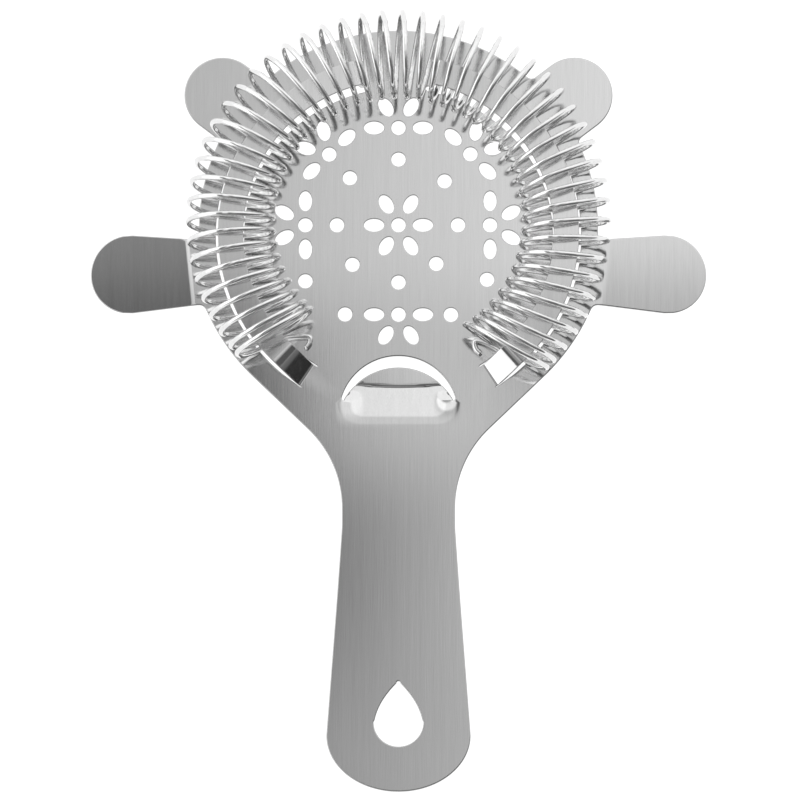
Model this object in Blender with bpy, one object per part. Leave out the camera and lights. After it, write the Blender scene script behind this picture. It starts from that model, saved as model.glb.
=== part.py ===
"""Hawthorne cocktail strainer: one folded, perforated steel plate and the coil spring threaded on its arms.

The spring side faces +Z, the handle points to -Y and the front of the rim to +Y. The origin lies on the
centre line, on the spring side of the sheet, where the root of the handle rests on the rim of a tin.
Shapes are drawn about the centre of the round rim, in millimetres and degrees, and each object is then
moved by SEAT_R. Ring angles are measured clockwise from the front (+Y), as seen from the spring side.
"""

import math

import bmesh
import bpy
import numpy as np
from mathutils import Vector
from mathutils.geometry import delaunay_2d_cdt

MM = 0.001
SHEET = 0.9
SEAT_R = 44.5

# Outline of the sheet
RIM_R = 39.25
SHOULDER_R = 41.2
SHOULDER_LINE_DEG = 43.95
ROOT_FILLET = 1.2
UPPER_WING_DEG, UPPER_WING_TIP, UPPER_WING_HALF = 52.7, 51.0, 7.5
LOWER_WING_Y, LOWER_WING_TIP = -8.95, 60.9
LOWER_WING_ROOT_HALF, LOWER_WING_END_HALF = 6.4, 7.7
NECK_HALF, NECK_FILLET, NECK_END_Y = 11.1, 22.0, -59.5
HANDLE_HALF, HANDLE_END_Y, HANDLE_TIP_Y = 14.15, -101.0, -112.1

# Fold of each lower wing, away from the spring
WING_FOLD_X, WING_FOLD_Y, WING_FOLD_SLANT_DEG = 40.35, -8.9, 5.8
WING_FOLD_DEG, WING_FOLD_R = 12.0, 5.0

# Finger tab: cut free by a crescent, pressed away from the spring, with a level tip
TAB_CUT_Y, TAB_CUT_R, TAB_CUT_END_X = -37.24, 11.66, 11.2
TAB_EDGE_Y, TAB_EDGE_R, TAB_EDGE_END_X = -39.65, 12.01, 10.9
TAB_ROOT_Y, TAB_CHORD_Y, TAB_SIDE_X, TAB_SIDE_RUN = -40.2, -34.6, 12.4, 5.5
TAB_PRESS_DEG, TAB_PRESS_RUN = 15.0, 4.2
TAB_LIP_Y, TAB_LIP_BOW, TAB_LIP_DEG, TAB_LIP_RUN, TAB_TIP_DEG = -31.9, 0.007, -32.0, 0.45, 1.0

# Hanging hole: a drop with its point towards the rim
DROP_APEX_Y, DROP_WIDE_Y, DROP_HALF = -90.2, -98.3, 4.9

# Sieve holes
ROUND_R = 1.42
PETAL_LONG, PETAL_SHORT, PETAL_AT = 2.0, 1.3, 4.8
SIEVE_MIDDLE_Y = 0.45
RING_HOLES = (  # ring degrees and radius about the sieve's middle
    (0, 13.1), (46, 12.6), (90, 11.7), (136, 10.7), (180, 11.4), (-131, 12.0), (-90, 12.1), (-45.5, 13.4),
)
FLOWERS = ((0, 19.4), (45, 20.0), (90, 18.0), (180, 17.8), (-90, 18.3), (-44, 19.6))
SINGLE_HOLES = ((17.4, -10.4), (-18.3, -10.7), (10.3, -17.4), (-10.5, -17.3))

# Arms: straps between two curved cuts, lifted towards the spring and joined to the sheet at both ends
ARM_CENTRE_Y, ARM_R, ARM_HALF, ARM_END_DEG = -1.75, 33.0, 2.5, 147.2
OUTER_CUT, INNER_CUT, CUT_FINE = 0.4, 1.0, 0.12
CUT_END_DEG = {1: 147.5, -1: 148.3}
ARM_START_DEG = {1: 11.5, -1: 12.7}
START_SLOPE_DEG, START_BEND_R = 80.0, 0.47
END_SLOPE_DEG, END_TOP_R, END_LOW_R = 47.0, 4.2, 1.3
RISE_START, RISE_SIDE, RISE_END = 3.8, 5.0, 4.8
PER_DEGREE = ARM_R * math.pi / 180

# Coil spring
WIRE_R, COIL_R, RING_R, COIL_Z = 0.55, 8.35, 32.95, 9.15
TURNS = 49
FIRST_DEG, LAST_DEG = -128.4, 134.4
PITCH_MID, PITCH_DROP, PITCH_END = 5.72, 0.62, 2.75
CLOSE_TURNS, CLOSE_FADE = 1.6, 0.8
LEAN_DEG = 1.6
DRIFT_RIGHT, DRIFT_LEFT, DRIFT_FROM, DRIFT_OVER = 0.7, -1.6, -5.0, 90.0
STEPS_PER_TURN, WIRE_SIDES = 12, 8

STEEL = (0.62, 0.62, 0.61, 1.0)
WIRE_STEEL = (0.72, 0.72, 0.72, 1.0)


def clear_scene():
    for obj in list(bpy.data.objects):
        bpy.data.objects.remove(obj, do_unlink=True)


def material(name, colour, roughness):
    mat = bpy.data.materials.new(name)
    mat.use_nodes = True
    shader = mat.node_tree.nodes["Principled BSDF"]
    shader.inputs["Base Color"].default_value = colour
    shader.inputs["Metallic"].default_value = 1.0
    shader.inputs["Roughness"].default_value = roughness
    return mat


def ring_point(radius, degrees, centre_y=0.0):
    a = math.radians(degrees)
    return (radius * math.sin(a), centre_y + radius * math.cos(a))


def arc(centre, radius, start, end, count):
    """Points on a circle, from start to end degrees counter-clockwise from +X."""
    angles = np.radians(np.linspace(start, end, count))
    return [(centre[0] + radius * math.cos(a), centre[1] + radius * math.sin(a)) for a in angles]


def ring_arc(radius, start, end, count, centre_y=0.0):
    return [ring_point(radius, d, centre_y) for d in np.linspace(start, end, count)]


def ring_angle(p):
    return math.degrees(math.atan2(p[0], p[1]))


def smooth(t):
    t = min(max(t, 0.0), 1.0)
    return t * t * (3 - 2 * t)


def line_meets_circle(point, direction, radius):
    """The first point at this radius from the origin, along a ray."""
    b = point[0] * direction[0] + point[1] * direction[1]
    c = point[0] ** 2 + point[1] ** 2 - radius**2
    t = -b - math.sqrt(b * b - c) if b < 0 else -b + math.sqrt(b * b - c)
    return (point[0] + t * direction[0], point[1] + t * direction[1])


def root_fillet(corner, to_rim, to_wing, size, count=4):
    """A concave fillet between the rim and a wing's edge, as a quadratic curve through the corner."""
    a = np.array(corner) + size * np.array(to_rim)
    b = np.array(corner) + size * np.array(to_wing)
    out = []
    for t in np.linspace(0, 1, count):
        out.append(tuple((1 - t) ** 2 * a + 2 * t * (1 - t) * np.array(corner) + t * t * b))
    return out


def wing_outline(axis_deg, centre, half_root, half_end, end_centre, back_radius):
    """Clockwise outline of a wing: rim, fillet, side, round end, side, fillet. Axis in ring degrees."""
    a = math.radians(axis_deg)
    along = np.array([math.sin(a), math.cos(a)])
    across = np.array([-math.cos(a), math.sin(a)])
    base = np.array(centre)
    slope = math.atan2(half_end - half_root, end_centre - RIM_R)
    before, after = [], []
    for sign, store, radius in ((1, before, RIM_R), (-1, after, back_radius)):
        end = base + along * (end_centre - half_end * math.sin(slope)) + across * sign * half_end
        inward = -along * math.cos(slope) - across * sign * math.sin(slope)
        corner = np.array(line_meets_circle(tuple(end), tuple(inward), radius))
        tangent = np.array([-corner[1], corner[0]]) / radius * sign
        store.extend(root_fillet(tuple(corner), tuple(tangent), tuple(-inward), ROOT_FILLET))
        store.append(tuple(end))
    spread = math.degrees(slope)
    middle = base + along * end_centre
    facing = 90 - axis_deg
    tip = arc(tuple(middle), half_end, facing + 90 - spread, facing - 90 + spread, 15)
    return before + tip[1:-1] + after[::-1]


def right_half_outline():
    """From the front middle, clockwise, to the end of the handle."""
    upper = wing_outline(
        UPPER_WING_DEG, (0, 0), UPPER_WING_HALF, UPPER_WING_HALF,
        UPPER_WING_TIP - UPPER_WING_HALF, RIM_R,
    )
    lower = wing_outline(
        90.0, (0, LOWER_WING_Y), LOWER_WING_ROOT_HALF, LOWER_WING_END_HALF,
        LOWER_WING_TIP - LOWER_WING_END_HALF, SHOULDER_R,
    )
    points = ring_arc(RIM_R, 0, ring_angle(upper[0]), 14)[:-1] + upper
    points += ring_arc(RIM_R, ring_angle(upper[-1]), ring_angle(lower[0]), 7)[1:-1] + lower
    a = math.radians(SHOULDER_LINE_DEG)
    normal = (math.sin(a), -math.cos(a))
    touch = math.degrees(math.atan2(normal[0], normal[1]))
    points += ring_arc(SHOULDER_R, ring_angle(lower[-1]), touch, 9)[1:]
    centre_x = NECK_HALF + NECK_FILLET
    centre_y = (normal[0] * centre_x - SHOULDER_R - NECK_FILLET) / math.cos(a)
    start = math.degrees(math.atan2(math.cos(a), -math.sin(a)))
    points += arc((centre_x, centre_y), NECK_FILLET, start, 180, 9)
    points += [(NECK_HALF, NECK_END_Y)]
    depth = HANDLE_END_Y - HANDLE_TIP_Y
    for t in np.radians(np.linspace(0, 90, 12)):
        points.append((HANDLE_HALF * math.cos(t), HANDLE_END_Y - depth * math.sin(t)))
    return points


def outline():
    right = right_half_outline()
    left = [(-x, y) for x, y in reversed(right[1:-1])]
    return right + left


def round_hole(x, y, count=12):
    return arc((x, y), ROUND_R, 0, 360 - 360 / count, count)


def petal(x, y, degrees, count=14):
    """An oval with its long axis at this angle from +X."""
    a = math.radians(degrees)
    points = []
    for t in np.linspace(0, 2 * math.pi, count, endpoint=False):
        u, v = PETAL_LONG * math.cos(t), PETAL_SHORT * math.sin(t)
        points.append((x + u * math.cos(a) - v * math.sin(a), y + u * math.sin(a) + v * math.cos(a)))
    return points


def flower(x, y, petal_degrees):
    holes = [round_hole(x, y)]
    for d in petal_degrees:
        a = math.radians(d)
        holes.append(petal(x + PETAL_AT * math.cos(a), y + PETAL_AT * math.sin(a), d))
    return holes


def sieve_holes():
    """A flower in the middle, a ring of round holes, six outer flowers and four single holes."""
    holes = flower(0, SIEVE_MIDDLE_Y, range(0, 360, 60))
    holes += [round_hole(*ring_point(radius, degrees, SIEVE_MIDDLE_Y)) for degrees, radius in RING_HOLES]
    for degrees, radius in FLOWERS:
        facing = 90 - degrees
        petals = [facing - 90, facing - 31, facing + 31, facing + 90]
        holes += flower(*ring_point(radius, degrees, SIEVE_MIDDLE_Y), petals)
    return holes + [round_hole(x, y) for x, y in SINGLE_HOLES]


def drop_hole():
    """Pointed at the top, with slightly bowed sides, and round at the bottom."""
    bottom = arc((0, DROP_WIDE_Y), DROP_HALF, 0, -180, 15)
    side = []
    for t in np.linspace(0, 1, 7)[1:-1]:
        bow = 0.35 * math.sin(math.pi * t)
        y = DROP_WIDE_Y + t * (DROP_APEX_Y - DROP_WIDE_Y)
        half = DROP_HALF * (1 - t) * (1 + 0.55 * t) * 0.97 + bow * 0.6
        side.append((-half, y))
    apex = arc((0, DROP_APEX_Y - 0.45), 0.45, 150, 30, 4)
    return bottom + side + apex + [(-x, y) for x, y in reversed(side)]


def tab_cut():
    """The crescent between the finger tab and the plate, narrowing to its ends."""
    far = math.degrees(math.asin(TAB_CUT_END_X / TAB_CUT_R))
    near = math.degrees(math.asin(TAB_EDGE_END_X / TAB_EDGE_R))
    return ring_arc(TAB_CUT_R, -far, far, 25, TAB_CUT_Y) + ring_arc(TAB_EDGE_R, near, -near, 25, TAB_EDGE_Y)


def cut_gap(sign, degrees):
    """Width of the cut along an arm's outer (1) or inner (-1) edge."""
    if sign > 0:
        return OUTER_CUT - (OUTER_CUT - CUT_FINE) * smooth((degrees - 95) / 40)
    front, end = smooth((80 - degrees) / 60), smooth((degrees - 115) / 20)
    return CUT_FINE + (INNER_CUT - CUT_FINE) * front + 0.08 * end


def arm_cut(side, sign):
    """The curved cut along one edge of an arm."""
    bends = [ARM_START_DEG[side] - 0.2, *(ARM_LINES[side][0] / PER_DEGREE), CUT_END_DEG[sign]]
    edge = ARM_R + sign * ARM_HALF
    far = [ring_point(edge + sign * cut_gap(sign, d), d, ARM_CENTRE_Y) for d in bends]
    near = [ring_point(edge, d, ARM_CENTRE_Y) for d in bends]
    return [(side * x, y) for x, y in far + near[::-1]]


def inside(points, loop):
    """Even-odd test of many points against one closed loop."""
    x, y = points[:, 0], points[:, 1]
    hit = np.zeros(len(points), bool)
    corners = np.array(loop)
    for (x0, y0), (x1, y1) in zip(corners, np.roll(corners, -1, axis=0)):
        if y0 == y1:
            continue
        crosses = (y0 > y) != (y1 > y)
        hit ^= crosses & (x < (x1 - x0) * (y - y0) / (y1 - y0) + x0)
    return hit


def crease_lines():
    """Creases across the sheet where it is bent, so that its facets follow the bends."""
    lines = []
    slant = math.radians(WING_FOLD_SLANT_DEG)
    length = WING_FOLD_R * math.radians(WING_FOLD_DEG)
    for offset in (0.0, length / 2, length):
        for side in (1, -1):
            ends = []
            for v in (-7.3, 7.3):
                u = WING_FOLD_X + offset * math.cos(slant) + v * math.sin(slant)
                ends.append((side * u, WING_FOLD_Y + v * math.cos(slant) - offset * math.sin(slant)))
            lines.append(ends)
    for side, line in ARM_LINES.items():
        for d in line[0] / PER_DEGREE:
            ends = [ring_point(ARM_R + across, d, ARM_CENTRE_Y) for across in (-ARM_HALF, ARM_HALF)]
            lines.append([(side * x, y) for x, y in ends])
    return lines


def tab_points():
    """Points spread over the tab and its root, so that its facets follow the press."""
    points = []
    for y in np.arange(TAB_ROOT_Y, TAB_EDGE_Y + TAB_EDGE_R - 0.5, 1.2):
        half = TAB_SIDE_X if y < TAB_CHORD_Y - 0.4 else math.sqrt(TAB_EDGE_R**2 - (y - TAB_EDGE_Y) ** 2) - 0.6
        points += [(x, y) for x in np.linspace(-half, half, 2 * int(half / 1.4) + 1)]
    return points


def flat_sheet(loops, lines, loose):
    """Triangles of the flat sheet: the first loop is its outline, the others are cut out."""
    points, edges = [], []
    for loop in loops:
        first = len(points)
        points += loop
        edges += [(first + i, first + (i + 1) % len(loop)) for i in range(len(loop))]
    for ends in lines:
        edges.append((len(points), len(points) + 1))
        points += ends
    points += loose
    out = delaunay_2d_cdt([Vector(p) for p in points], edges, [], 0, 1e-5)
    flat = np.array([tuple(p) for p in out[0]])
    triangles = np.array([tuple(f) for f in out[2]])
    centres = flat[triangles].mean(axis=1)
    keep = inside(centres, loops[0])
    for loop in loops[1:]:
        keep &= ~inside(centres, loop)
    return flat, triangles[keep]


def s_bend(slope_deg, height, first_r, second_r, steps):
    """Run and height along a ramp that bends off the level and back onto it, as two arrays."""
    slope = math.radians(slope_deg)
    first, second = np.linspace(0, slope, steps), np.linspace(slope, 0, steps)
    bent = (first_r + second_r) * (1 - math.cos(slope))
    x = first_r * math.sin(slope) + (height - bent) / math.tan(slope)
    z = first_r * (1 - math.cos(slope)) + height - bent
    run = [first_r * np.sin(first), x + second_r * (math.sin(slope) - np.sin(second))]
    rise = [first_r * (1 - np.cos(first)), z + second_r * (np.cos(second) - math.cos(slope))]
    return np.concatenate(run), np.concatenate(rise)


def arm_line(start_deg):
    """The arm seen from the side: distance along its arc and height over the sheet, as two arrays."""
    up_run, up = s_bend(START_SLOPE_DEG, RISE_START, START_BEND_R, START_BEND_R, 4)
    down_run, down = s_bend(END_SLOPE_DEG, RISE_END, END_TOP_R, END_LOW_R, 5)
    start, end = start_deg * PER_DEGREE, ARM_END_DEG * PER_DEGREE - down_run[-1]
    top = start + up_run[-1]
    t = np.linspace(0, 1, 25)[1:-1]
    flank = (90 * PER_DEGREE - top) / (end - top)
    height = RISE_START + (RISE_SIDE - RISE_START) * np.sin(np.minimum(t / flank, 1) * math.pi / 2)
    height += (RISE_END - RISE_SIDE) * np.maximum(t - flank, 0) / (1 - flank)
    run = [start + up_run, top + t * (end - top), end + down_run]
    return np.concatenate(run), np.concatenate([up, height, RISE_END - down])


ARM_LINES = {side: arm_line(start) for side, start in ARM_START_DEG.items()}


def arm_place(x, y, depth):
    """Lifts a point of an arm. depth is its distance from the mid-plane, along the sheet's normal."""
    side = 1 if x > 0 else -1
    dx, dy = side * x, y - ARM_CENTRE_Y
    radius, angle = math.hypot(dx, dy), math.atan2(dx, dy)
    s = angle * ARM_R
    line = ARM_LINES[side]
    height = float(np.interp(s, *line))
    step = 0.1
    rise = float(np.interp(s + step, *line) - np.interp(s - step, *line)) / (2 * step)
    slope = math.atan(rise)
    angle = (s - depth * math.sin(slope)) / ARM_R
    px, py = radius * math.sin(angle), ARM_CENTRE_Y + radius * math.cos(angle)
    return side * px, py, -SHEET / 2 + height + depth * math.cos(slope)


def wing_place(x, y, depth):
    """Folds a point of a lower wing away from the spring."""
    side = 1 if x > 0 else -1
    slant, fold = math.radians(WING_FOLD_SLANT_DEG), math.radians(WING_FOLD_DEG)
    out = (math.cos(slant), -math.sin(slant))
    run = (side * x - WING_FOLD_X) * out[0] + (y - WING_FOLD_Y) * out[1]
    if run <= 0:
        return x, y, -SHEET / 2 + depth
    slope = min(run / WING_FOLD_R, fold)
    rest = max(run - WING_FOLD_R * fold, 0)
    shift = WING_FOLD_R * math.sin(slope) + rest * math.cos(fold) + depth * math.sin(slope) - run
    drop = WING_FOLD_R * (1 - math.cos(slope)) + rest * math.sin(fold)
    return x + side * shift * out[0], y + shift * out[1], -SHEET / 2 - drop + depth * math.cos(slope)


def running_depth(y, slope_deg):
    """Depth gained along y, from the slope at each step."""
    steps = np.tan(np.radians(slope_deg))[:-1] * np.diff(y)
    return y, np.concatenate([[0], np.cumsum(steps)])


def press_profile():
    """Depth of the pressed tab against y, as two arrays."""
    y = np.linspace(TAB_ROOT_Y, TAB_EDGE_Y + TAB_EDGE_R + 0.2, 120)
    return running_depth(y, [TAB_PRESS_DEG * smooth((v - TAB_ROOT_Y) / TAB_PRESS_RUN) for v in y])


def lip_profile():
    """What the lip and the level tip beyond it add to that depth."""
    y = np.linspace(TAB_LIP_Y, TAB_EDGE_Y + TAB_EDGE_R + 0.2, 120)
    lip, tip = TAB_LIP_DEG - TAB_PRESS_DEG, TAB_TIP_DEG - TAB_LIP_DEG
    return running_depth(y, [lip * smooth((v - TAB_LIP_Y) / TAB_LIP_RUN)
                             + tip * smooth((v - TAB_LIP_Y - TAB_LIP_RUN) / TAB_LIP_RUN) for v in y])


PRESS_LINE, LIP_LINE = press_profile(), lip_profile()


def tab_depth(x, y):
    """How far the tab, and the sheet at its root, is pressed away from the spring."""
    side = smooth((TAB_SIDE_X - abs(x)) / TAB_SIDE_RUN)
    free = smooth((y - TAB_CHORD_Y + 0.2) / 2.5)
    depth = float(np.interp(y, *PRESS_LINE)) + float(np.interp(y - TAB_LIP_BOW * x * x, *LIP_LINE))
    return depth * (side + (1 - side) * free)


def tab_place(x, y, depth):
    step = 0.05
    gx = (tab_depth(x + step, y) - tab_depth(x - step, y)) / (2 * step)
    gy = (tab_depth(x, y + step) - tab_depth(x, y - step)) / (2 * step)
    share = depth / math.sqrt(gx * gx + gy * gy + 1)
    return x + gx * share, y + gy * share, -SHEET / 2 - tab_depth(x, y) + share


def on_arm(x, y):
    radius = math.hypot(x, y - ARM_CENTRE_Y)
    degrees = math.degrees(math.atan2(abs(x), y - ARM_CENTRE_Y))
    start = ARM_START_DEG[1 if x > 0 else -1]
    return abs(radius - ARM_R) < ARM_HALF + 0.02 and start < degrees < ARM_END_DEG


def on_tab(x, y):
    if y < TAB_CHORD_Y:
        return abs(x) < TAB_SIDE_X and y > TAB_ROOT_Y
    return math.hypot(x, y - TAB_EDGE_Y) < TAB_EDGE_R + 0.02


def place(x, y, depth):
    """Where a point of the flat sheet goes once the sheet is folded and pressed."""
    if on_arm(x, y):
        return arm_place(x, y, depth)
    if on_tab(x, y):
        return tab_place(x, y, depth)
    if abs(x) > WING_FOLD_X - 2 and -20 < y < 3:
        return wing_place(x, y, depth)
    return x, y, -SHEET / 2 + depth


def build_plate():
    cuts = [arm_cut(side, sign) for side in (1, -1) for sign in (1, -1)]
    loops = [outline(), *cuts, tab_cut(), drop_hole(), *sieve_holes()]
    flat, triangles = flat_sheet(loops, crease_lines(), tab_points())
    used = np.unique(triangles)
    mesh = bmesh.new()
    top = {i: mesh.verts.new(Vector(place(*flat[i], SHEET / 2)) * MM) for i in used}
    low = {i: mesh.verts.new(Vector(place(*flat[i], -SHEET / 2)) * MM) for i in used}
    edges = {}
    for a, b, c in triangles:
        u, v = flat[b] - flat[a], flat[c] - flat[a]
        if u[0] * v[1] - u[1] * v[0] < 0:
            b, c = c, b
        mesh.faces.new((top[a], top[b], top[c]))
        mesh.faces.new((low[a], low[c], low[b]))
        for e in ((a, b), (b, c), (c, a)):
            edges[e] = True
    for a, b in edges:
        if (b, a) not in edges:
            mesh.faces.new((top[b], top[a], low[a], low[b]))
    finish("strainer_plate", mesh, material("satin_steel", STEEL, 0.35))


def drifted(degrees):
    """The turns on the left stand a little further round than those on the right."""
    return degrees + DRIFT_RIGHT + (DRIFT_LEFT - DRIFT_RIGHT) * smooth((DRIFT_FROM - degrees) / DRIFT_OVER)


def turn_angles():
    """Turn numbers and their ring angles: close-wound at both ends, and a little tighter towards them."""
    fine = np.linspace(0, TURNS, TURNS * 40 + 1)
    off = np.abs(2 * fine / TURNS - 1)
    pitch = PITCH_MID - PITCH_DROP * off**4
    close = np.array([smooth((CLOSE_TURNS - min(t, TURNS - t)) / CLOSE_FADE) for t in fine])
    pitch = pitch * (1 - close) + PITCH_END * close
    angle = np.concatenate([[0], np.cumsum((pitch[1:] + pitch[:-1]) / 2)])
    angle = FIRST_DEG + (LAST_DEG - FIRST_DEG) * angle / angle[-1]
    return fine, [drifted(a) for a in angle]


TURN_ANGLES = turn_angles()


def coil_point(turn):
    """A point on the wire's mid-line. Whole turns are on the outside of the ring."""
    phase = 2 * math.pi * turn
    angle = float(np.interp(min(max(turn, 0), TURNS), *TURN_ANGLES))
    if turn > TURNS:
        angle += (turn - TURNS) * PITCH_END * 2.2
    inward = (1 - math.cos(phase)) / 2
    angle += math.copysign(LEAN_DEG * (abs(angle) / 88) ** 4, angle) * inward
    x, y = ring_point(RING_R + COIL_R * math.cos(phase), angle)
    return (x, y, COIL_Z + COIL_R * math.sin(phase))


def curve_through(points, steps):
    """A smooth curve through a few points."""
    p = np.array([2 * np.array(points[0]) - points[1], *points, 2 * np.array(points[-1]) - points[-2]])
    out = []
    for i in range(1, len(p) - 2):
        for t in np.linspace(0, 1, steps, endpoint=False):
            a = 2 * p[i]
            b = p[i + 1] - p[i - 1]
            c = 2 * p[i - 1] - 5 * p[i] + 4 * p[i + 1] - p[i + 2]
            d = 3 * p[i] - 3 * p[i + 1] + p[i + 2] - p[i - 1]
            out.append((a + b * t + c * t * t + d * t**3) / 2)
    out.append(p[-2])
    return out


def ring_place(degrees, radius, z):
    return (*ring_point(radius, degrees), z)


def wire_mid_line():
    """An end loop beside each arm's foot, and the coil between them."""
    left = [
        ring_place(-143.1, 30.1, 0.8),
        ring_place(-142.9, 28.8, 0.8),
        ring_place(-141.0, 28.2, 0.85),
        ring_place(-135.6, 31.0, 0.8),
        ring_place(-133.0, 34.2, 0.85),
        ring_place(-131.5, 38.0, 2.3),
        ring_place(-130.6, 40.6, 5.6),
        coil_point(0.0),
    ]
    turns = np.arange(0, (TURNS + 0.5) * STEPS_PER_TURN + 1) / STEPS_PER_TURN
    coil = [np.array(coil_point(t)) for t in turns]
    right = [
        coil_point(TURNS + 0.5),
        ring_place(145.2, 26.2, 4.6),
        ring_place(142.0, 29.2, 1.4),
        ring_place(139.3, 31.8, 0.85),
        ring_place(138.1, 33.4, 0.8),
        ring_place(139.1, 34.2, 0.8),
        ring_place(140.6, 33.0, 0.8),
        ring_place(142.1, 30.5, 0.8),
        ring_place(144.6, 28.2, 0.8),
        ring_place(146.8, 27.4, 0.8),
        ring_place(147.9, 28.6, 0.8),
        ring_place(147.4, 29.9, 0.8),
    ]
    return curve_through(left, 3)[:-1] + coil + curve_through(right, 3)[1:]


def sweep(points, radius, sides):
    """A round bar along the points, with flat ends."""
    p = np.array(points)
    ahead = np.gradient(p, axis=0)
    ahead /= np.linalg.norm(ahead, axis=1)[:, None]
    up = np.cross(ahead[0], (0.3, 0.5, 0.8))
    mesh = bmesh.new()
    rings = []
    for centre, t in zip(p, ahead):
        up = up - t * np.dot(up, t)
        up /= np.linalg.norm(up)
        side = np.cross(t, up)
        ring = []
        for a in np.arange(sides) * 2 * math.pi / sides:
            out = up * math.cos(a) + side * math.sin(a)
            ring.append(mesh.verts.new(Vector(centre + radius * out) * MM))
        rings.append(ring)
    for a, b in zip(rings, rings[1:]):
        for i in range(sides):
            j = (i + 1) % sides
            mesh.faces.new((a[i], a[j], b[j], b[i]))
    mesh.faces.new(rings[0][::-1])
    mesh.faces.new(rings[-1])
    return mesh


def finish(name, mesh, mat):
    bmesh.ops.recalc_face_normals(mesh, faces=mesh.faces)
    data = bpy.data.meshes.new(name)
    mesh.to_mesh(data)
    mesh.free()
    data.materials.append(mat)
    obj = bpy.data.objects.new(name, data)
    obj.location = (0.0, SEAT_R * MM, 0.0)
    bpy.context.scene.collection.objects.link(obj)


def build_spring():
    mesh = sweep(wire_mid_line(), WIRE_R, WIRE_SIDES)
    finish("coil_spring", mesh, material("bright_wire", WIRE_STEEL, 0.15))


clear_scene()
build_plate()
build_spring()
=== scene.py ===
"""Looks for the hawthorne strainer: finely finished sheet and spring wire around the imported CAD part."""

import math

import bpy
import numpy as np
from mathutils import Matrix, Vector
from mathutils.geometry import delaunay_2d_cdt


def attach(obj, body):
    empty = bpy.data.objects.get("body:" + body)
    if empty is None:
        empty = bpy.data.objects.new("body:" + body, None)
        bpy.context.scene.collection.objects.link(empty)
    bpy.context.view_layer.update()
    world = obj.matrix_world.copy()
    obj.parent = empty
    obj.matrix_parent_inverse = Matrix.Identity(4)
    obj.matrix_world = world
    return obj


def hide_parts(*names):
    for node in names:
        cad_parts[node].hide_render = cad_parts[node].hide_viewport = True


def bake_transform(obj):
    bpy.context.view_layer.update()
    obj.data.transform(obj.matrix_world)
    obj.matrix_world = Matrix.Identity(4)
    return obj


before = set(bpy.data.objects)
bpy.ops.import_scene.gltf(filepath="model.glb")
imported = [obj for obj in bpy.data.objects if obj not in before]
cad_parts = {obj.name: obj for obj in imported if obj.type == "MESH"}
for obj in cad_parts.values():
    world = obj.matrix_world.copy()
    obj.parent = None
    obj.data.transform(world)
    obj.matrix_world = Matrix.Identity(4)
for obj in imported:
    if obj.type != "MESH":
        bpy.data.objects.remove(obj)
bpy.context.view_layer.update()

# Lengths are in millimetres and angles in degrees. Ring angles run clockwise from the front (+Y). Shapes are worked
# out about the middle of the round rim, which stands SEAT_R in front of the frame's origin.
MM = 0.001
SEAT_R = 44.5
SHEET = 0.9
EDGE_ROUND, HOLE_ROUND = 0.2, 0.13

# Outline of the flat sheet
RIM_R = 39.25
SHOULDER_R = 41.2
SHOULDER_LINE_DEG = 43.95
ROOT_FILLET = 1.2
UPPER_WING_DEG, UPPER_WING_TIP, UPPER_WING_HALF = 52.7, 51.0, 7.5
LOWER_WING_Y, LOWER_WING_TIP = -8.95, 60.9
LOWER_WING_ROOT_HALF, LOWER_WING_END_HALF = 6.4, 7.7
NECK_HALF, NECK_FILLET, NECK_END_Y = 11.1, 22.0, -59.5
HANDLE_HALF, HANDLE_END_Y, HANDLE_TIP_Y, HANDLE_BOW = 14.15, -101.0, -112.1, 0.03
WING_SIDE_STEP = 1.2

# Fold of each lower wing, away from the spring
WING_FOLD_X, WING_FOLD_Y, WING_FOLD_SLANT_DEG = 40.35, -8.9, 5.8
WING_FOLD_DEG, WING_FOLD_R = 12.0, 5.0
WING_FOLD_LEAD, WING_LOW_Y, WING_HIGH_Y = 2, -20, 3

# Finger tab: cut free by a crescent, pressed away from the spring, with a level tip
TAB_CUT_Y, TAB_CUT_R, TAB_CUT_END_X = -37.24, 11.66, 11.2
TAB_EDGE_Y, TAB_EDGE_R, TAB_EDGE_END_X = -39.65, 12.01, 10.9
TAB_ROOT_Y, TAB_CHORD_Y, TAB_SIDE_X, TAB_SIDE_RUN = -40.2, -34.6, 12.4, 5.5
TAB_FAR_Y = TAB_EDGE_Y + TAB_EDGE_R + 0.2
TAB_PRESS_DEG, TAB_PRESS_RUN = 15.0, 4.2
TAB_FREE_LEAD, TAB_FREE_RUN = 0.2, 2.5
TAB_LIP_Y, TAB_LIP_BOW, TAB_LIP_DEG, TAB_LIP_RUN, TAB_TIP_DEG = -31.9, 0.007, -32.0, 0.45, 1.0

# Hanging hole: a drop with its point towards the rim
DROP_APEX_Y, DROP_WIDE_Y, DROP_HALF, DROP_APEX_R = -90.2, -98.3, 4.9, 0.45
DROP_SWELL, DROP_TAPER, DROP_BOW = 0.55, 0.97, 0.21

# Sieve holes
ROUND_R = 1.42
PETAL_LONG, PETAL_SHORT, PETAL_AT = 2.0, 1.3, 4.8
SIEVE_MIDDLE_Y = 0.45
RING_HOLES = (  # ring degrees and radius about the sieve's middle
    (0, 13.1), (46, 12.6), (90, 11.7), (136, 10.7), (180, 11.4), (-131, 12.0), (-90, 12.1), (-45.5, 13.4),
)
FLOWERS = ((0, 19.4), (45, 20.0), (90, 18.0), (180, 17.8), (-90, 18.3), (-44, 19.6))
SINGLE_HOLES = ((17.4, -10.4), (-18.3, -10.7), (10.3, -17.4), (-10.5, -17.3))

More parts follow.
